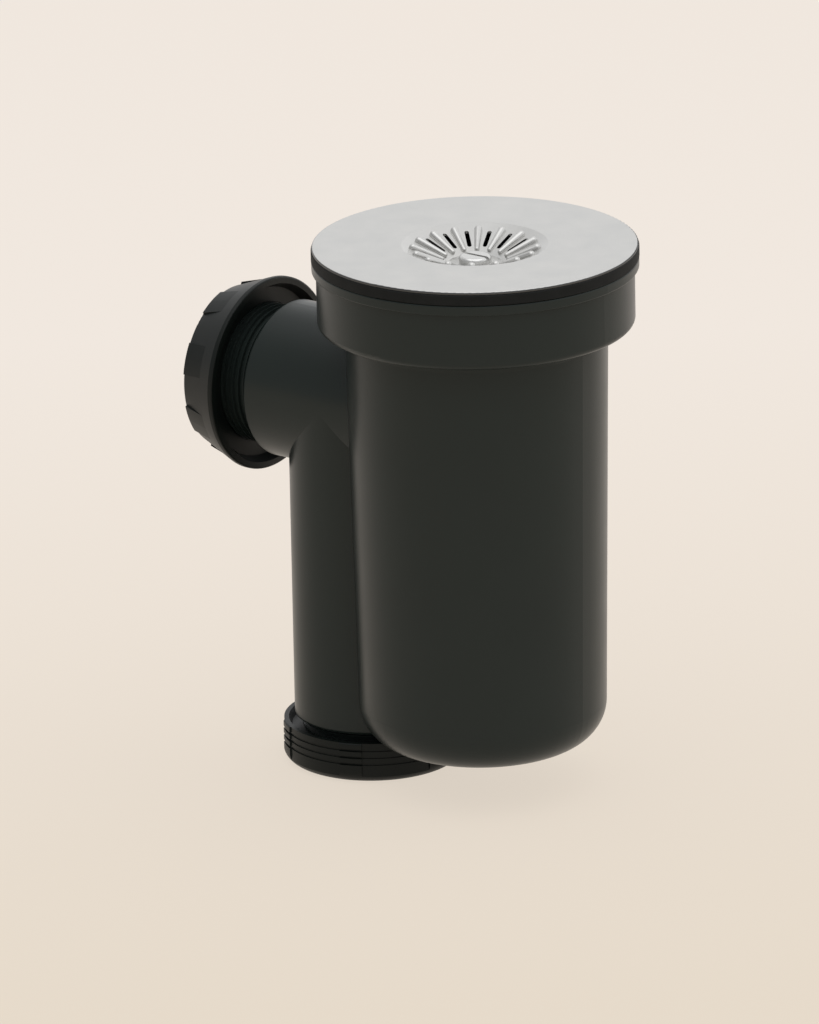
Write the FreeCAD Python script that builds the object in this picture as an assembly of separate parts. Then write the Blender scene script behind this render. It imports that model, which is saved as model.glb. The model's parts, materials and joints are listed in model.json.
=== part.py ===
import FreeCAD, Part
import math
import os

from FreeCAD import Placement, Rotation, Vector

# Sink trap in millimetres. The bottle stands on the Z axis and the branch points along -X.
# The origin is the middle of the sink deck's seat: the top of the flange seal.

# Strainer plate, pressed from sheet
plate_d = 110.0
plate_t = 0.8
plate_edge_round = 0.5
deck_lap = 10.0
dish_d = 49.5
dish_depth = 6.5
dish_floor_d = 18.0
slot_count = 16
slot_w = 1.5
slot_inner_r = 13.5
slot_outer_r = 19.8
rib_inner_r = 11.2
rib_outer_r = 20.9
rib_inner_round = 0.8
rib_outer_round = 1.3
rib_lift = 0.3

# Clamp screw and the brass thread it goes into
screw_d = 5.8
screw_hole_gap = 0.35
screw_head_d = 11.0
screw_head_h = 2.6
screw_head_round = 1.2
screw_slot_w = 1.4
screw_slot_depth = 1.1
screw_engagement = 9.0
insert_wall = 1.6
insert_thread_gap = 0.1
insert_press_gap = 0.05

# Flange seal, rubber
seal_overhang = 0.3
seal_t = 4.0
seal_edge_round = 0.5
seal_hole_margin = 1.0

# Inlet head: rim, collar, web, funnel and dip tube in one moulding
rim_overhang = 0.2
rim_t = 3.4
rim_edge_round = 0.5
collar_inset = 1.5
collar_h = 19.8
collar_wall = 3.2
collar_edge_round = 2.4
web_drop = 4.0
web_t = 3.0
funnel_mouth_d = 62.0
funnel_h = 21.0
tube_bore_d = 28.0
tube_wall = 2.5
tube_notch_count = 4
tube_notch_w = 8.0
tube_notch_h = 7.0
hub_d = 14.0
hub_drop = 5.5
hub_floor = 2.0
bridge_rib_count = 3
bridge_rib_t = 2.8
bridge_rib_h = 8.0

# Bottle seal, rubber
bottle_seal_t = 1.5

# Trap body: bottle and outlet tee in one moulding
bottle_thread_gap = 0.3
bottle_rim_wall = 3.0
bottle_shoulder_recess = 1.6
bottle_shoulder_w = 5.7
bottle_shoulder_cove = 5.4
cup_draft_deg = 0.97
cup_depth = 175.5
cup_wall = 2.8
cup_floor_round = 14.5
leg_shoulder_w = 3.2
leg_shoulder_t = 2.0
leg_wall = 2.7
leg_stand = 2.5
leg_edge_round = 1.2
leg_above_cup_bottom = 0.9
neck_bore_below_cup = 0.6
neck_bore_taper = 8.0
branch_room = 6.3
branch_length = 33.0
water_seal = 50.0

# Threaded necks for 40 mm waste pipe, drawn to the root of the thread
pipe_d = 40.0
pipe_gap = 0.6
neck_wall = 2.3
thread_depth = 1.0
neck_mouth_depth = 1.8
neck_mouth_flare = 1.4
branch_neck_exposed = 8.2
branch_neck_engaged = 10.8
drop_neck_exposed = 1.6
drop_neck_engaged = 9.1

# Nuts
nut_thread_gap = 0.35
nut_hole_gap = 0.9
nut_end_wall = 2.4
nut_edge_round = 0.6
branch_nut_wall = 3.75
branch_nut_flare = 5.5
branch_nut_rim_w = 2.4
branch_nut_rim_land = 1.6
branch_nut_mouth_depth = 3.5
branch_lug_h = 1.1
branch_lug_sink = 0.5
branch_lug_w = 11.0
branch_lug_count = 8
branch_lug_turn_deg = 19.5
drop_nut_wall = 6.55
drop_nut_rim_w = 1.6
drop_nut_mouth_depth = 2.4
drop_nut_foot_round = 4.6
drop_lug_h = 0.5
drop_lug_w = 8.0
drop_lug_count = 6
drop_lug_turn_deg = 8.0
drop_groove_count = 3
drop_groove_w = 0.9
drop_groove_depth = 0.4

# Tapered seals and slip rings
pipe_seal_gap = 0.4
pipe_seal_base_t = 1.8
slip_ring_t = 1.2
slip_ring_gap = 0.4

# Levels and radii that follow from the sizes above
z_rim_top = -seal_t
z_rim_bottom = z_rim_top - rim_t
z_collar_bottom = z_rim_bottom - collar_h
z_web_top = z_rim_top - web_drop
z_web_bottom = z_web_top - web_t
z_bottle_rim = z_web_bottom - bottle_seal_t
z_bottle_shoulder = z_collar_bottom + bottle_shoulder_recess
z_cup_bottom = -cup_depth
z_leg_end = z_cup_bottom + leg_above_cup_bottom
z_drop_bore = z_cup_bottom - neck_bore_below_cup
z_funnel_bottom = z_web_top - funnel_h
z_dish_floor = plate_t - dish_depth
z_hub_top = z_web_top - hub_drop

plate_r = plate_d / 2
dish_r = dish_d / 2
floor_r = dish_floor_d / 2
deck_hole_r = plate_r - deck_lap
head_opening_r = deck_hole_r + seal_hole_margin
seal_r = plate_r + seal_overhang
rim_r = plate_r + rim_overhang
collar_r = rim_r - collar_inset
collar_bore_r = collar_r - collar_wall
bottle_rim_r = collar_bore_r - bottle_thread_gap
bottle_rim_bore_r = bottle_rim_r - bottle_rim_wall
cup_top_r = bottle_rim_r - bottle_shoulder_w
tube_bore_r = tube_bore_d / 2
screw_r = screw_d / 2
insert_bore_r = screw_r + insert_thread_gap
insert_r = insert_bore_r + insert_wall
z_screw_tip = z_hub_top - screw_engagement
neck_bore_r = (pipe_d + pipe_gap * 2) / 2
neck_root_r = neck_bore_r + neck_wall
neck_crest_r = neck_root_r + thread_depth
nut_bore_r = neck_crest_r + nut_thread_gap
nut_hole_r = (pipe_d + nut_hole_gap * 2) / 2
leg_r = neck_crest_r + leg_shoulder_w
leg_bore_r = leg_r - leg_wall
leg_offset = cup_top_r + leg_stand
z_branch = z_collar_bottom - branch_room - leg_r
branch_reach = leg_offset + branch_length
drop_length = z_branch - z_leg_end
drop_bore_from = z_branch - z_drop_bore
branch_bore_from = branch_length - leg_shoulder_t
weir_z = z_branch - leg_bore_r
z_tube_end = weir_z - water_seal

AXIS = Vector(0, 0, 1)
ORIGIN = Vector(0, 0, 0)
BRANCH_TURN = Rotation(Vector(0, 1, 0), -90)
DROP_TURN = Rotation(Vector(1, 0, 0), 180)


def turned(points):
    """Solid of revolution about Z from a closed outline of (radius, height) points."""
    corners = [Vector(r, 0, z) for r, z in points]
    face = Part.Face(Part.makePolygon(corners + corners[:1]))
    return face.revolve(ORIGIN, AXIS, 360)


def cylinder(radius, low, high):
    return Part.makeCylinder(radius, high - low, Vector(0, 0, low))


def tube(inner, outer, low, high):
    return turned([(inner, low), (outer, low), (outer, high), (inner, high)])


def circles(shape, radius, height):
    """The circular edges about Z with this radius at this height."""
    found = []
    for edge in shape.Edges:
        curve = edge.Curve
        if not isinstance(curve, Part.Circle):
            continue
        if abs(curve.Radius - radius) < 0.01 and abs(curve.Center.z - height) < 0.01:
            if math.hypot(curve.Center.x, curve.Center.y) < 0.01:
                found.append(edge)
    return found


def rounded(shape, fillet, *rims):
    """Rounds the circular edges given as (radius, height) pairs."""
    edges = []
    for radius, height in rims:
        edges += circles(shape, radius, height)
    return shape.makeFillet(fillet, edges)


def around(shape, count, start_deg=0.0):
    """Copies of a shape at equal steps about Z."""
    copies = []
    for i in range(count):
        copy = shape.copy()
        copy.rotate(ORIGIN, AXIS, start_deg + i * 360.0 / count)
        copies.append(copy)
    return copies


def radial_bar(inner, outer, width, low, high):
    """A bar along +X from one radius to another."""
    return Part.makeBox(outer - inner, width, high - low, Vector(inner, -width / 2, low))


def placed(shape, turn, base):
    copy = shape.copy()
    copy.Placement = Placement(base, turn)
    return copy


def dish_height(r):
    """Height of the dish's sloping wall at a radius."""
    return plate_t - dish_depth * (dish_r - r) / (dish_r - floor_r)


def make_strainer_rib():
    """Round rib along +X, half sunk in the dish's wall."""
    inner = Vector(rib_inner_r, 0, dish_height(rib_inner_r) + rib_lift)
    outer = Vector(rib_outer_r, 0, dish_height(rib_outer_r) + rib_lift)
    run = outer - inner
    rib = Part.makeCone(rib_inner_round, rib_outer_round, run.Length, inner, run)
    return rib.fuse([
        Part.makeSphere(rib_inner_round, inner),
        Part.makeSphere(rib_outer_round, outer),
    ]).removeSplitter()


def make_strainer_plate():
    hole_r = screw_r + screw_hole_gap
    slope = math.hypot(dish_r - floor_r, dish_depth)
    lean = plate_t * (slope - (dish_r - floor_r)) / dish_depth
    sheet = turned([
        (hole_r, z_dish_floor),
        (floor_r, z_dish_floor),
        (dish_r, plate_t),
        (plate_r, plate_t),
        (plate_r, 0),
        (dish_r + lean, 0),
        (floor_r + lean, z_dish_floor - plate_t),
        (hole_r, z_dish_floor - plate_t),
    ])
    sheet = rounded(sheet, plate_edge_round, (plate_r, plate_t))
    sheet = rounded(sheet, plate_t, (dish_r, plate_t), (floor_r + lean, z_dish_floor - plate_t))
    sheet = sheet.fuse(around(make_strainer_rib(), slot_count, 180.0 / slot_count))
    slot = radial_bar(slot_inner_r, slot_outer_r, slot_w, z_dish_floor - plate_t, plate_t)
    for radius in (slot_inner_r, slot_outer_r):
        end = cylinder(slot_w / 2, z_dish_floor - plate_t, plate_t)
        end.translate(Vector(radius, 0, 0))
        slot = slot.fuse(end)
    return sheet.cut(around(slot.removeSplitter(), slot_count))


def make_clamp_screw():
    head = cylinder(screw_head_d / 2, z_dish_floor, z_dish_floor + screw_head_h)
    head = rounded(head, screw_head_round, (screw_head_d / 2, z_dish_floor + screw_head_h))
    shank = cylinder(screw_r, z_screw_tip, z_dish_floor)
    slot = Part.makeBox(
        screw_head_d,
        screw_slot_w,
        screw_slot_depth,
        Vector(-screw_head_d / 2, -screw_slot_w / 2, z_dish_floor + screw_head_h - screw_slot_depth),
    )
    return head.fuse(shank).cut(slot).removeSplitter()


def make_bridge_insert():
    return tube(insert_bore_r, insert_r, z_screw_tip, z_hub_top)


def make_flange_seal():
    ring = tube(head_opening_r, seal_r, -seal_t, 0)
    return rounded(ring, seal_edge_round, (seal_r, 0), (seal_r, -seal_t))


def make_inlet_head():
    tube_r = tube_bore_r + tube_wall
    mouth_r = funnel_mouth_d / 2
    shell = turned([
        (head_opening_r, z_rim_top),
        (rim_r, z_rim_top),
        (rim_r, z_rim_bottom),
        (collar_r, z_rim_bottom),
        (collar_r, z_collar_bottom),
        (collar_bore_r, z_collar_bottom),
        (collar_bore_r, z_web_bottom),
        (mouth_r + tube_wall, z_web_bottom),
        (tube_r, z_funnel_bottom - tube_wall),
        (tube_r, z_tube_end),
        (tube_bore_r, z_tube_end),
        (tube_bore_r, z_funnel_bottom),
        (mouth_r, z_web_top),
        (head_opening_r, z_web_top),
    ])
    shell = rounded(shell, collar_edge_round, (collar_r, z_collar_bottom))
    shell = rounded(shell, rim_edge_round, (rim_r, z_rim_top), (rim_r, z_rim_bottom))
    notch = radial_bar(0, tube_r + tube_wall, tube_notch_w, z_tube_end, z_tube_end + tube_notch_h)
    shell = shell.cut(around(notch, tube_notch_count, 180.0 / tube_notch_count))
    funnel = turned([
        (0, z_web_top),
        (mouth_r + tube_wall / 2, z_web_top),
        (tube_bore_r + tube_wall / 2, z_funnel_bottom),
        (0, z_funnel_bottom),
    ])
    rib = radial_bar(0, mouth_r + tube_wall, bridge_rib_t, z_hub_top - bridge_rib_h, z_hub_top)
    bridge = cylinder(hub_d / 2, z_screw_tip - hub_floor, z_hub_top)
    for arm in around(rib, bridge_rib_count):
        bridge = bridge.fuse(arm.common(funnel))
    pocket = cylinder(insert_r + insert_press_gap, z_screw_tip, z_hub_top)
    return shell.fuse(bridge).cut(pocket).removeSplitter()


def make_bottle_seal():
    return tube(bottle_rim_bore_r, bottle_rim_r, z_bottle_rim, z_web_bottom)


def cup_radius(z, wall):
    """Radius of the bottle's drafted wall, less a wall thickness."""
    return cup_top_r - (z_bottle_shoulder - z) * math.tan(math.radians(cup_draft_deg)) - wall


def make_cup_outside():
    solid = turned([
        (0, z_cup_bottom),
        (cup_radius(z_cup_bottom, 0), z_cup_bottom),
        (cup_top_r, z_bottle_shoulder),
        (bottle_rim_r, z_bottle_shoulder),
        (bottle_rim_r, z_bottle_rim),
        (0, z_bottle_rim),
    ])
    solid = rounded(solid, bottle_shoulder_cove, (cup_top_r, z_bottle_shoulder))
    return rounded(solid, cup_floor_round, (cup_radius(z_cup_bottom, 0), z_cup_bottom))


def make_cup_inside():
    floor = z_cup_bottom + cup_wall
    ledge = z_bottle_shoulder + cup_wall
    solid = turned([
        (0, floor),
        (cup_radius(floor, cup_wall), floor),
        (cup_radius(ledge, cup_wall), ledge),
        (bottle_rim_bore_r, ledge),
        (bottle_rim_bore_r, z_bottle_rim),
        (0, z_bottle_rim),
    ])
    return rounded(solid, cup_floor_round - cup_wall, (cup_radius(floor, cup_wall), floor))


def leg_outside(length, end):
    """Leg with its threaded neck, from the middle of the tee along +Z to the end of the neck."""
    leg = cylinder(leg_r, 0, length)
    leg = rounded(leg, leg_edge_round, (leg_r, length))
    return leg.fuse(cylinder(neck_root_r, length - leg_shoulder_t, end))


def leg_inside(bore_from, end):
    """Bore that narrows from the leg to its neck, with the flared seat for the tapered seal."""
    return turned([
        (0, 0),
        (leg_bore_r, 0),
        (leg_bore_r, bore_from - neck_bore_taper),
        (neck_bore_r, bore_from),
        (neck_bore_r, end - neck_mouth_depth),
        (neck_bore_r + neck_mouth_flare, end),
        (0, end),
    ])


TEE_CENTRE = Vector(-leg_offset, 0, z_branch)
BRANCH_END = Vector(-branch_reach, 0, z_branch)
DROP_END = Vector(-leg_offset, 0, z_leg_end)


def make_trap_body():
    cup = make_cup_outside()
    run_to_cup = cylinder(leg_r, -leg_offset, 0)
    branch_end = branch_length + branch_neck_exposed + branch_neck_engaged
    drop_end = drop_length + drop_neck_exposed + drop_neck_engaged
    branch = leg_outside(branch_length, branch_end).fuse(run_to_cup)
    drop = leg_outside(drop_length, drop_end)
    outside = cup.fuse([
        placed(branch, BRANCH_TURN, TEE_CENTRE),
        placed(drop, DROP_TURN, TEE_CENTRE),
    ])
    drop_bore = placed(leg_inside(drop_bore_from, drop_end), DROP_TURN, TEE_CENTRE)
    branch_bore = leg_inside(branch_bore_from, branch_end)
    port = cylinder(leg_bore_r, -leg_offset, 0)
    hollows = [
        make_cup_inside(),
        drop_bore.cut(cup),
        placed(branch_bore.fuse(port), BRANCH_TURN, TEE_CENTRE),
    ]
    return outside.cut(hollows).removeSplitter()


def nut_inside(mouth_r, mouth_depth, length):
    """Hollow of a nut, from the rim of its mouth at 0 to its end face at length."""
    return turned([
        (0, 0),
        (mouth_r, 0),
        (mouth_r - mouth_depth / 2, mouth_depth),
        (nut_bore_r, mouth_depth),
        (nut_bore_r, length - nut_end_wall),
        (nut_hole_r, length - nut_end_wall),
        (nut_hole_r, length),
        (0, length),
    ])


def nut_length(engaged):
    """From the mouth to the end face: engaged neck, seal base, slip ring and end wall."""
    return engaged + pipe_seal_base_t + slip_ring_t + nut_end_wall


def make_branch_nut():
    length = nut_length(branch_neck_engaged)
    end_r = nut_bore_r + branch_nut_wall
    bell_r = end_r + branch_nut_flare
    lug_end = length - nut_edge_round
    bell = turned([
        (0, 0),
        (bell_r, 0),
        (bell_r, branch_nut_rim_land),
        (end_r, length),
        (0, length),
    ])
    bell = rounded(bell, nut_edge_round, (bell_r, 0), (bell_r, branch_nut_rim_land), (end_r, length))
    bar = radial_bar(0, bell_r, branch_lug_w, branch_nut_rim_land, lug_end)
    lug = bar.common(turned([
        (0, branch_nut_rim_land),
        (bell_r - branch_lug_sink, branch_nut_rim_land),
        (end_r + branch_lug_h, lug_end),
        (0, lug_end),
    ]))
    bell = bell.fuse(around(lug, branch_lug_count, branch_lug_turn_deg))
    hollow = nut_inside(bell_r - branch_nut_rim_w, branch_nut_mouth_depth, length)
    return bell.cut(hollow).removeSplitter()


def make_drop_nut():
    length = nut_length(drop_neck_engaged)
    wall_r = nut_bore_r + drop_nut_wall
    lug_r = wall_r + drop_lug_h
    wall = cylinder(wall_r, 0, length)
    bar = radial_bar(0, lug_r, drop_lug_w, 0, length)
    outside = wall.fuse(around(bar, drop_lug_count, drop_lug_turn_deg))
    envelope = cylinder(lug_r, 0, length)
    envelope = rounded(envelope, drop_nut_foot_round, (lug_r, length))
    envelope = rounded(envelope, nut_edge_round, (lug_r, 0))
    outside = outside.common(envelope)
    pitch = (length - drop_nut_foot_round) / (drop_groove_count + 1)
    groove_r = wall_r - drop_groove_depth
    for i in range(drop_groove_count):
        start = pitch * (i + 1) - drop_groove_w / 2
        groove = tube(groove_r, lug_r + drop_groove_depth, start, start + drop_groove_w)
        outside = outside.cut(groove)
    hollow = nut_inside(wall_r - drop_nut_rim_w, drop_nut_mouth_depth, length)
    return outside.cut(hollow).removeSplitter()


def make_pipe_seal(engaged):
    """Tapered ring: a flat base outside the neck's end and a nose in its flared mouth."""
    inner = (pipe_d + pipe_seal_gap * 2) / 2
    outer = neck_crest_r
    nose = engaged - neck_mouth_depth / 2
    nose_r = neck_bore_r + neck_mouth_flare / 2
    return turned([
        (inner, nose),
        (nose_r, nose),
        (neck_bore_r + neck_mouth_flare, engaged),
        (outer, engaged),
        (outer, engaged + pipe_seal_base_t),
        (inner, engaged + pipe_seal_base_t),
    ])


def make_slip_ring(engaged):
    """Flat ring between the seal and the nut's end wall."""
    seat = engaged + pipe_seal_base_t
    return tube(nut_hole_r, nut_bore_r - slip_ring_gap, seat, seat + slip_ring_t)


def at_branch(shape):
    """Puts a piece drawn from the mouth of the nut onto the branch."""
    return placed(shape, BRANCH_TURN, BRANCH_END + Vector(-branch_neck_exposed, 0, 0))


def at_drop(shape):
    """Puts a piece drawn from the mouth of the nut onto the lower leg."""
    return placed(shape, DROP_TURN, DROP_END + Vector(0, 0, -drop_neck_exposed))


PIECES = {
    "strainer_plate": make_strainer_plate(),
    "clamp_screw": make_clamp_screw(),
    "bridge_insert": make_bridge_insert(),
    "flange_seal": make_flange_seal(),
    "inlet_head": make_inlet_head(),
    "bottle_seal": make_bottle_seal(),
    "trap_body": make_trap_body(),
    "branch_nut": at_branch(make_branch_nut()),
    "branch_seal": at_branch(make_pipe_seal(branch_neck_engaged)),
    "branch_slip_ring": at_branch(make_slip_ring(branch_neck_engaged)),
    "drop_nut": at_drop(make_drop_nut()),
    "drop_seal": at_drop(make_pipe_seal(drop_neck_engaged)),
    "drop_slip_ring": at_drop(make_slip_ring(drop_neck_engaged)),
}

os.makedirs("parts", exist_ok=True)
for name, shape in PIECES.items():
    shape.exportStep("parts/" + name + ".step")
    print(name, len(shape.Solids), shape.isValid(), round(shape.Volume))
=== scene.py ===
import json
import math

import bpy
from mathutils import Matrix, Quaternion, Vector


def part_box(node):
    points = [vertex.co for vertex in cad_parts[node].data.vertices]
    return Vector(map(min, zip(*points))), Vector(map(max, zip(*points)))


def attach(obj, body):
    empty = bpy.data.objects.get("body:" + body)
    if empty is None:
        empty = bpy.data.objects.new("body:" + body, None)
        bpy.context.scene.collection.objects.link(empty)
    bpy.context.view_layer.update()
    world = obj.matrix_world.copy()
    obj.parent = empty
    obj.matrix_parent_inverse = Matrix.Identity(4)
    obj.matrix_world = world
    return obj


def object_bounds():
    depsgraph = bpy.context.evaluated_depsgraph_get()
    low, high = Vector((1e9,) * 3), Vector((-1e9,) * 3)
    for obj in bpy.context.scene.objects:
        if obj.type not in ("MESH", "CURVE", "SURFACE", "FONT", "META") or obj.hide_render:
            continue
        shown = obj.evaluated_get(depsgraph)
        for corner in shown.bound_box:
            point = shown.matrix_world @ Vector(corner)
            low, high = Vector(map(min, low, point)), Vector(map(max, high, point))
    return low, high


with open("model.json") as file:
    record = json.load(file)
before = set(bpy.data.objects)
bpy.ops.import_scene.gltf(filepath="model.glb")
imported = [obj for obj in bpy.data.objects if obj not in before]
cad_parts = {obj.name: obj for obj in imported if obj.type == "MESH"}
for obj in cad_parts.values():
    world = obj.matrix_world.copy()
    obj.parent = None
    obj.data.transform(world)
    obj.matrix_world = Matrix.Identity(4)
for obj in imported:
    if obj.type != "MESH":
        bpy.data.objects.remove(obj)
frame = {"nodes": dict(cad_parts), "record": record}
cad_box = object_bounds()
nodes = frame["nodes"]

# The photograph's view, fitted to the plate's ellipse and the edges of bottle, collar and nuts
VIEW_AZIMUTH = 37.46
VIEW_ELEVATION = 18.53
VIEW_ROLL = -1.13
VIEW_DISTANCE = 4.0
VIEW_LENS = 415.2
VIEW_SENSOR = 36.0
VIEW_TARGET = Vector((-0.01907, -0.01417, -0.09395))

# Strainer plate, in metres
PLATE_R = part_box("strainer_plate")[1].x
PLATE_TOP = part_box("strainer_plate")[1].z
DISH_R = 0.02475
TURNED_FROM_R = DISH_R - 0.0010
TURNED_FULL_R = DISH_R + 0.0005
TURNED_RINGS_PER_METRE = 5200.0
# Where painted shade darkens the plate's rim, hiding the highlight the rounded edge would catch
EDGE_FROM_R = PLATE_R - 0.0006
EDGE_FULL_R = PLATE_R - 0.0004
EDGE_FROM_Z = PLATE_TOP - 0.00005
EDGE_FULL_Z = PLATE_TOP - 0.00015

# Threads of the necks and nuts, in metres; the nuts' crests clear the seals as they back off
THREAD_PITCH = frame["record"]["behaviour"]["couplings"][0]["ratio"] * 2.0 * math.pi
NECK_ROOT_R = 0.0229
NECK_CREST_R = 0.02410
NUT_CREST_R = 0.02396
NUT_ROOT_R = 0.0243
RIDGE_BASE_W = 0.00125
RIDGE_CREST_W = 0.00050
RIDGE_STEPS = 72
RIDGE_SMOOTH_ANGLE = 30.0
MERGE_DISTANCE = 1e-7
RIDGE_BURIED = 0.0002
NECK_BURIED_R = NECK_ROOT_R - RIDGE_BURIED
NECK_THREAD_START = 0.0003
BRANCH_NECK = 0.0190
BRANCH_NECK_TURNS = 7
BRANCH_NUT_PITCHES_ALONG = 5.5
BRANCH_NUT_THREAD_START = NECK_THREAD_START + BRANCH_NUT_PITCHES_ALONG * THREAD_PITCH
BRANCH_NUT_TURNS = 2
DROP_NECK = 0.0107
DROP_NECK_TURNS = 4
DROP_NUT_PITCHES_ALONG = 2.5
DROP_NUT_THREAD_START = NECK_THREAD_START + DROP_NUT_PITCHES_ALONG * THREAD_PITCH
DROP_NUT_TURNS = 1

# Stage: the floor lies just under the lower nut, and its colour darkens from far to near the camera as
# painted shade
FLOOR_GAP = 0.0001
FLOOR_Z = cad_box[0].z - FLOOR_GAP
FLOOR_SIZE = 16.0
FLOOR_FAR = -0.50
FLOOR_NEAR = 0.22
FLOOR_FAR_COLOUR = (0.895, 0.822, 0.752)
FLOOR_NEAR_COLOUR = (0.807, 0.716, 0.604)
FLOOR_OWN_GLOW = 0.82
BRIGHT_SIDE_AZIMUTH = 165.0
BRIGHT_SIDE_LEVEL = 0.98
DIM_SIDE_LEVEL = 0.46
SIDE_BLEND = 0.7
SOFTBOX_AZIMUTH = 20.0
SOFTBOX_ELEVATION = 78.0
SOFTBOX_DISTANCE = 1.8
SOFTBOX_SIZE = 2.2
SOFTBOX_POWER = 11.0

# Colour sockets of Blender's Mix node, which has others of the same names
MIX_FIRST = 6
MIX_SECOND = 7
MIX_RESULT = 2


def direction(azimuth, elevation):
    """Unit vector towards a compass angle: azimuth 0 is -Y, 90 is +X."""
    a, e = math.radians(azimuth), math.radians(elevation)
    return Vector((math.sin(a) * math.cos(e), -math.cos(a) * math.cos(e), math.sin(e)))


# Node helpers

def start_finish(name, colour, roughness, metallic=0.0, specular=0.5):
    """A material with its plain values on the shader, and that shader."""
    finish = bpy.data.materials.new(name)
    finish.use_nodes = True
    shader = finish.node_tree.nodes["Principled BSDF"]
    shader.inputs["Base Color"].default_value = (*colour, 1.0)
    shader.inputs["Roughness"].default_value = roughness
    shader.inputs["Metallic"].default_value = metallic
    shader.inputs["Specular IOR Level"].default_value = specular
    return finish, shader


def add(finish, kind, **values):
    """A node, with attributes and input values set by name."""
    node = finish.node_tree.nodes.new(kind)
    for name, value in values.items():
        if hasattr(node, name):
            setattr(node, name, value)
        else:
            node.inputs[name.replace("_", " ")].default_value = value
    return node


def join(finish, output, socket):
    """Links one node's output to another's input."""
    finish.node_tree.links.new(output, socket)


def spread(finish, scale=(1.0, 1.0, 1.0)):
    """Object coordinates in metres, stretched by a scale."""
    place = add(finish, "ShaderNodeTexCoord")
    mapping = add(finish, "ShaderNodeMapping")
    mapping.inputs["Scale"].default_value = scale
    join(finish, place.outputs["Object"], mapping.inputs["Vector"])
    return mapping.outputs["Vector"]


def grain(finish, size, detail=2.0, stretch=(1.0, 1.0, 1.0)):
    """Noise with features of about this size in metres."""
    noise = add(finish, "ShaderNodeTexNoise", Scale=1.0 / size, Detail=detail)
    join(finish, spread(finish, stretch), noise.inputs["Vector"])
    return noise.outputs["Fac"]


def between(finish, factor, low, high, start=0.3, end=0.7):
    """A number that runs from low to high as the factor runs from start to end."""
    span = add(finish, "ShaderNodeMapRange")
    span.inputs["From Min"].default_value = start
    span.inputs["From Max"].default_value = end
    span.inputs["To Min"].default_value = low
    span.inputs["To Max"].default_value = high
    join(finish, factor, span.inputs["Value"])
    return span.outputs["Result"]


def tint(finish, factor, dark, light):
    """A colour that runs from dark to light with the factor."""
    mix = add(finish, "ShaderNodeMix", data_type="RGBA")
    mix.inputs[MIX_FIRST].default_value = (*dark, 1.0)
    mix.inputs[MIX_SECOND].default_value = (*light, 1.0)
    join(finish, factor, mix.inputs["Factor"])
    return mix.outputs[MIX_RESULT]


def distance_from_axis(finish):
    """Distance from the Z axis in metres."""
    radius = add(finish, "ShaderNodeVectorMath", operation="LENGTH")
    join(finish, spread(finish, (1.0, 1.0, 0.0)), radius.inputs[0])
    return radius.outputs["Value"]


def height_of(finish):
    """Height along Z in metres."""
    parts = add(finish, "ShaderNodeSeparateXYZ")
    join(finish, spread(finish), parts.inputs["Vector"])
    return parts.outputs["Z"]


def reach(finish, vector, way):
    """How far a vector goes along a direction."""
    dot = add(finish, "ShaderNodeVectorMath", operation="DOT_PRODUCT")
    dot.inputs[1].default_value = way
    join(finish, vector, dot.inputs[0])
    return dot.outputs["Value"]


def product(finish, first, second):
    """Two numbers multiplied."""
    both = add(finish, "ShaderNodeMath", operation="MULTIPLY")
    join(finish, first, both.inputs[0])
    join(finish, second, both.inputs[1])
    return both.outputs["Value"]


def relief(finish, shader, height, depth, strength=1.0):
    """Adds a bump of this depth in metres over what the shader already has."""
    bump = add(finish, "ShaderNodeBump", Strength=strength, Distance=depth)
    join(finish, height, bump.inputs["Height"])
    if shader.inputs["Normal"].is_linked:
        earlier = shader.inputs["Normal"].links[0].from_socket
        join(finish, earlier, bump.inputs["Normal"])
    join(finish, bump.outputs["Normal"], shader.inputs["Normal"])


# Finishes

def moulded_plastic(name, dark, light, rough_low, rough_high, specular):
    """Satin moulding: cloudy tone, fine pebble and faint draw marks along Z."""
    finish, shader = start_finish(name, dark, rough_low, specular=specular)
    cloud = grain(finish, 0.030, 4.0)
    join(finish, tint(finish, between(finish, cloud, 0.0, 1.0), dark, light), shader.inputs["Base Color"])
    sheen_patches = grain(finish, 0.020, 4.0)
    join(finish, between(finish, sheen_patches, rough_low, rough_high), shader.inputs["Roughness"])
    relief(finish, shader, grain(finish, 0.0006, 3.0), 0.00002, 0.5)
    relief(finish, shader, grain(finish, 0.0012, 2.0, (1.0, 1.0, 0.02)), 0.00001, 0.35)
    return finish


def rubber(name):
    """Matt black rubber with a faint bloom."""
    finish, shader = start_finish(name, (0.007, 0.008, 0.008), 0.70, specular=0.2)
    bloom = grain(finish, 0.006, 5.0)
    join(
        finish,
        tint(finish, between(finish, bloom, 0.0, 1.0), (0.006, 0.007, 0.007), (0.010, 0.011, 0.011)),
        shader.inputs["Base Color"],
    )
    relief(finish, shader, grain(finish, 0.0005, 2.0), 0.00003, 0.5)
    return finish


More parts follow.
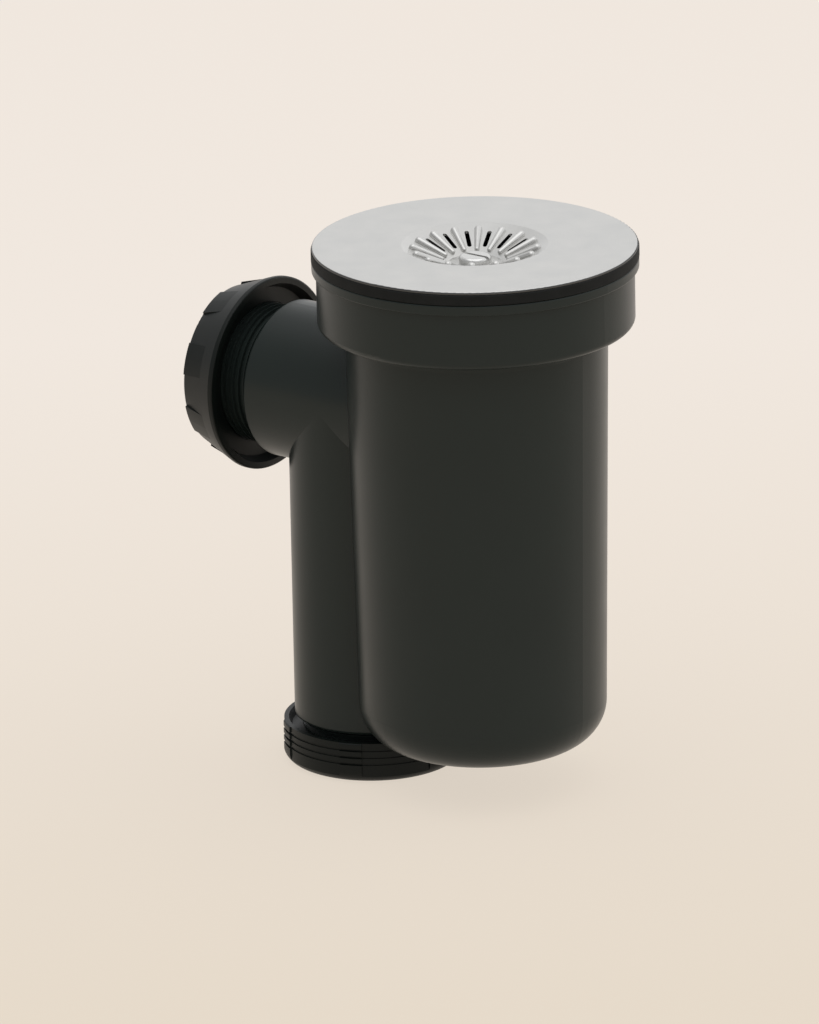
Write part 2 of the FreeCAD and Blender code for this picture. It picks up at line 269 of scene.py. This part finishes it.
def turned_steel(name):
    """Stainless sheet: concentric grain on the flange, a smooth pressed dish, and painted shade darkening
    the rim's lower edge so it catches no highlight.
    """
    finish, shader = start_finish(name, (0.72, 0.72, 0.71), 0.3, metallic=1.0)
    radius = distance_from_axis(finish)
    rings = add(
        finish, "ShaderNodeTexNoise", noise_dimensions="1D", Scale=TURNED_RINGS_PER_METRE, Detail=3.0
    )
    join(finish, radius, rings.inputs["W"])
    on_flange = between(finish, radius, 0.0, 1.0, TURNED_FROM_R, TURNED_FULL_R)
    turned = product(finish, rings.outputs["Fac"], on_flange)
    cloud = between(finish, grain(finish, 0.012, 5.0), 0.0, 1.0)
    sheet_colour = tint(finish, cloud, (0.615, 0.615, 0.605), (0.665, 0.66, 0.645))
    # Painted shade: the rim's lower edge turns near black, which dulls its highlight
    edge_shade_mask = product(
        finish,
        between(finish, radius, 0.0, 1.0, EDGE_FROM_R, EDGE_FULL_R),
        between(finish, height_of(finish), 1.0, 0.0, EDGE_FULL_Z, EDGE_FROM_Z),
    )
    painted_edge_shade = add(finish, "ShaderNodeMix", data_type="RGBA")
    painted_edge_shade.inputs[MIX_SECOND].default_value = (0.10, 0.10, 0.10, 1.0)
    join(finish, sheet_colour, painted_edge_shade.inputs[MIX_FIRST])
    join(finish, edge_shade_mask, painted_edge_shade.inputs["Factor"])
    join(finish, painted_edge_shade.outputs[MIX_RESULT], shader.inputs["Base Color"])
    join(finish, between(finish, turned, 0.30, 0.44), shader.inputs["Roughness"])
    relief(finish, shader, turned, 0.000008, 0.6)
    return finish


def bright_metal(name, colour, worn, rough):
    """Turned screw or insert, a little dulled in patches."""
    finish, shader = start_finish(name, colour, rough, metallic=1.0)
    cloud = grain(finish, 0.004, 3.0)
    join(finish, tint(finish, between(finish, cloud, 0.0, 1.0), worn, colour), shader.inputs["Base Color"])
    dull_patches = grain(finish, 0.003, 3.0)
    join(finish, between(finish, dull_patches, rough, rough + 0.06), shader.inputs["Roughness"])
    return finish


def natural_polyethylene(name):
    """Uncoloured milky plastic of the slip rings."""
    finish, shader = start_finish(name, (0.70, 0.69, 0.63), 0.45)
    cloud = grain(finish, 0.010, 3.0)
    join(
        finish,
        tint(finish, between(finish, cloud, 0.0, 1.0), (0.64, 0.63, 0.57), (0.74, 0.73, 0.68)),
        shader.inputs["Base Color"],
    )
    relief(finish, shader, grain(finish, 0.0008, 2.0), 0.00002, 0.4)
    return finish


body_plastic = moulded_plastic(
    "body_plastic", (0.0136, 0.0196, 0.0182), (0.0148, 0.0212, 0.0196), 0.28, 0.32, 0.26
)
nut_plastic = moulded_plastic(
    "nut_plastic", (0.0048, 0.0070, 0.0062), (0.0064, 0.0090, 0.0080), 0.34, 0.44, 0.20
)
seal_rubber = rubber("seal_rubber")
plate_steel = turned_steel("plate_steel")
screw_steel = bright_metal("screw_steel", (0.74, 0.74, 0.73), (0.69, 0.69, 0.68), 0.26)
insert_brass = bright_metal("insert_brass", (0.78, 0.58, 0.27), (0.60, 0.43, 0.18), 0.25)
ring_plastic = natural_polyethylene("ring_plastic")

NODE_FINISH = {
    "strainer_plate": plate_steel,
    "clamp_screw": screw_steel,
    "bridge_insert": insert_brass,
    "flange_seal": seal_rubber,
    "inlet_head": body_plastic,
    "bottle_seal": seal_rubber,
    "trap_body": body_plastic,
    "branch_nut": nut_plastic,
    "branch_seal": seal_rubber,
    "branch_slip_ring": ring_plastic,
    "drop_nut": nut_plastic,
    "drop_seal": seal_rubber,
    "drop_slip_ring": ring_plastic,
}
for name, finish in NODE_FINISH.items():
    materials = nodes[name].data.materials
    materials.clear()
    materials.append(finish)


# Threads

def neck_frame(mount_name, neck_length):
    """Turn from local +Z to the mount's axis, and the point where the threaded neck starts."""
    mount = next(m for m in frame["record"]["mounts"] if m["name"] == mount_name)
    axis = Vector(mount["axis"])
    along = axis.dot(Vector(mount["pos_m"]))
    low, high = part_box("trap_body")
    end = max(axis.dot(low), axis.dot(high))
    start = Vector(mount["pos_m"]) + axis * (end - neck_length - along)
    return Vector((0.0, 0.0, 1.0)).rotation_difference(axis), start


def make_ridge(name, base_r, crest_r, height, turns, place, body, finish):
    """Helical ridge with a trapezoid section, starting at a height above the start of the neck."""
    turn, start = place
    depth = abs(crest_r - base_r)
    bpy.ops.object.select_all(action="DESELECT")
    bpy.ops.mesh.primitive_plane_add(
        size=1.0, location=((base_r + crest_r) / 2, 0.0, height), rotation=(math.pi / 2, 0.0, 0.0)
    )
    ridge = bpy.context.active_object
    ridge.name = name
    ridge.scale = (depth, RIDGE_BASE_W, 1.0)
    bpy.ops.object.transform_apply(location=True, rotation=True, scale=True)
    for vertex in ridge.data.vertices:
        vertex.select = abs(vertex.co.x - crest_r) < depth / 4
    bpy.ops.object.mode_set(mode="EDIT")
    bpy.ops.transform.resize(
        value=(1.0, 1.0, RIDGE_CREST_W / RIDGE_BASE_W), center_override=(crest_r, 0.0, height)
    )
    bpy.ops.object.mode_set(mode="OBJECT")
    screw = ridge.modifiers.new("helix", "SCREW")
    screw.axis = "Z"
    screw.angle = 2.0 * math.pi
    screw.screw_offset = THREAD_PITCH
    screw.iterations = turns
    screw.steps = RIDGE_STEPS
    screw.render_steps = RIDGE_STEPS
    bpy.ops.object.modifier_apply(modifier=screw.name)
    bpy.ops.object.mode_set(mode="EDIT")
    bpy.ops.mesh.select_all(action="SELECT")
    bpy.ops.mesh.remove_doubles(threshold=MERGE_DISTANCE)
    bpy.ops.mesh.select_all(action="DESELECT")
    bpy.ops.mesh.select_mode(type="EDGE")
    bpy.ops.mesh.select_non_manifold()
    bpy.ops.mesh.fill()
    bpy.ops.mesh.select_all(action="SELECT")
    bpy.ops.mesh.normals_make_consistent(inside=False)
    bpy.ops.object.mode_set(mode="OBJECT")
    ridge.rotation_mode = "QUATERNION"
    ridge.rotation_quaternion = turn
    ridge.location = start
    bpy.ops.object.transform_apply(location=True, rotation=True, scale=True)
    bpy.ops.object.shade_smooth_by_angle(angle=math.radians(RIDGE_SMOOTH_ANGLE))
    ridge.data.materials.clear()
    ridge.data.materials.append(finish)
    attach(ridge, body)


branch_place = neck_frame("branch_outlet", BRANCH_NECK)
drop_place = neck_frame("drop_outlet", DROP_NECK)
make_ridge(
    "branch_neck_thread", NECK_BURIED_R, NECK_CREST_R, NECK_THREAD_START, BRANCH_NECK_TURNS,
    branch_place, "trap", body_plastic,
)
make_ridge(
    "drop_neck_thread", NECK_BURIED_R, NECK_CREST_R, NECK_THREAD_START, DROP_NECK_TURNS,
    drop_place, "trap", body_plastic,
)
make_ridge(
    "branch_nut_thread", NUT_ROOT_R, NUT_CREST_R, BRANCH_NUT_THREAD_START, BRANCH_NUT_TURNS,
    branch_place, "branch_nut", nut_plastic,
)
make_ridge(
    "drop_nut_thread", NUT_ROOT_R, NUT_CREST_R, DROP_NUT_THREAD_START, DROP_NUT_TURNS,
    drop_place, "drop_nut", nut_plastic,
)


# Stage

def make_floor():
    """Pale floor with painted shade that darkens it towards the camera; part of what the camera and
    mirrors see is its own glow.
    """
    bpy.ops.object.select_all(action="DESELECT")
    bpy.ops.mesh.primitive_plane_add(size=FLOOR_SIZE, location=(0.0, 0.0, FLOOR_Z))
    floor = bpy.context.active_object
    floor.name = "floor"
    paint, shader = start_finish("floor_paint", FLOOR_FAR_COLOUR, 0.9, specular=0.0)
    # Painted shade: the floor's colour runs from the far colour to the darker near colour
    towards_camera = reach(paint, spread(paint), direction(VIEW_AZIMUTH, 0.0))
    nearness = between(paint, towards_camera, 0.0, 1.0, FLOOR_FAR, FLOOR_NEAR)
    colour = tint(paint, nearness, FLOOR_FAR_COLOUR, FLOOR_NEAR_COLOUR)
    join(paint, colour, shader.inputs["Base Color"])
    glow = add(paint, "ShaderNodeEmission", Strength=1.0)
    join(paint, colour, glow.inputs["Color"])
    share = add(paint, "ShaderNodeMath", operation="MULTIPLY")
    share.inputs[1].default_value = FLOOR_OWN_GLOW
    join(paint, seen_directly(paint), share.inputs[0])
    mix = add(paint, "ShaderNodeMixShader")
    join(paint, share.outputs["Value"], mix.inputs["Fac"])
    join(paint, shader.outputs["BSDF"], mix.inputs[1])
    join(paint, glow.outputs["Emission"], mix.inputs[2])
    join(paint, mix.outputs["Shader"], paint.node_tree.nodes["Material Output"].inputs["Surface"])
    floor.data.materials.append(paint)


def seen_directly(paint):
    """1 for rays from the camera, a mirror or glass, and 0 for the light that falls on things."""
    path = add(paint, "ShaderNodeLightPath")
    seen = path.outputs["Is Camera Ray"]
    for ray in ("Is Glossy Ray", "Is Transmission Ray"):
        larger = add(paint, "ShaderNodeMath", operation="MAXIMUM")
        join(paint, seen, larger.inputs[0])
        join(paint, path.outputs[ray], larger.inputs[1])
        seen = larger.outputs["Value"]
    return seen


def make_world():
    """Neutral light from all round, brighter behind the object than behind the camera."""
    world = bpy.data.worlds.new("studio")
    world.use_nodes = True
    bpy.context.scene.world = world
    surround = world.node_tree.nodes["Background"]
    surround.inputs["Color"].default_value = (1.0, 1.0, 1.0, 1.0)
    place = add(world, "ShaderNodeTexCoord")
    facing = reach(world, place.outputs["Generated"], direction(BRIGHT_SIDE_AZIMUTH, 0.0))
    level = between(world, facing, DIM_SIDE_LEVEL, BRIGHT_SIDE_LEVEL, -SIDE_BLEND, SIDE_BLEND)
    join(world, level, surround.inputs["Strength"])


def make_softbox():
    """One wide soft lamp overhead, dim enough that the steel plate doesn't mirror it as pure white."""
    towards = direction(SOFTBOX_AZIMUTH, SOFTBOX_ELEVATION)
    bpy.ops.object.light_add(type="AREA", location=VIEW_TARGET + towards * SOFTBOX_DISTANCE)
    lamp = bpy.context.active_object
    lamp.name = "top_softbox"
    lamp.rotation_euler = (-towards).to_track_quat("-Z", "Y").to_euler()
    lamp.data.shape = "RECTANGLE"
    lamp.data.size = SOFTBOX_SIZE
    lamp.data.size_y = SOFTBOX_SIZE
    lamp.data.energy = SOFTBOX_POWER


def make_camera():
    """Camera on the photograph's side, with its roll about the line of sight."""
    back = direction(VIEW_AZIMUTH, VIEW_ELEVATION)
    bpy.ops.object.camera_add(location=VIEW_TARGET + back * VIEW_DISTANCE)
    camera = bpy.context.active_object
    level = (-back).to_track_quat("-Z", "Y")
    camera.rotation_mode = "QUATERNION"
    camera.rotation_quaternion = level @ Quaternion((0.0, 0.0, 1.0), math.radians(VIEW_ROLL))
    camera.data.sensor_width = VIEW_SENSOR
    camera.data.lens = VIEW_LENS
    camera.data.clip_end = FLOOR_SIZE * 2
    bpy.context.scene.camera = camera


make_floor()
make_world()
make_softbox()
make_camera()
bpy.context.scene.view_settings.view_transform = "Standard"
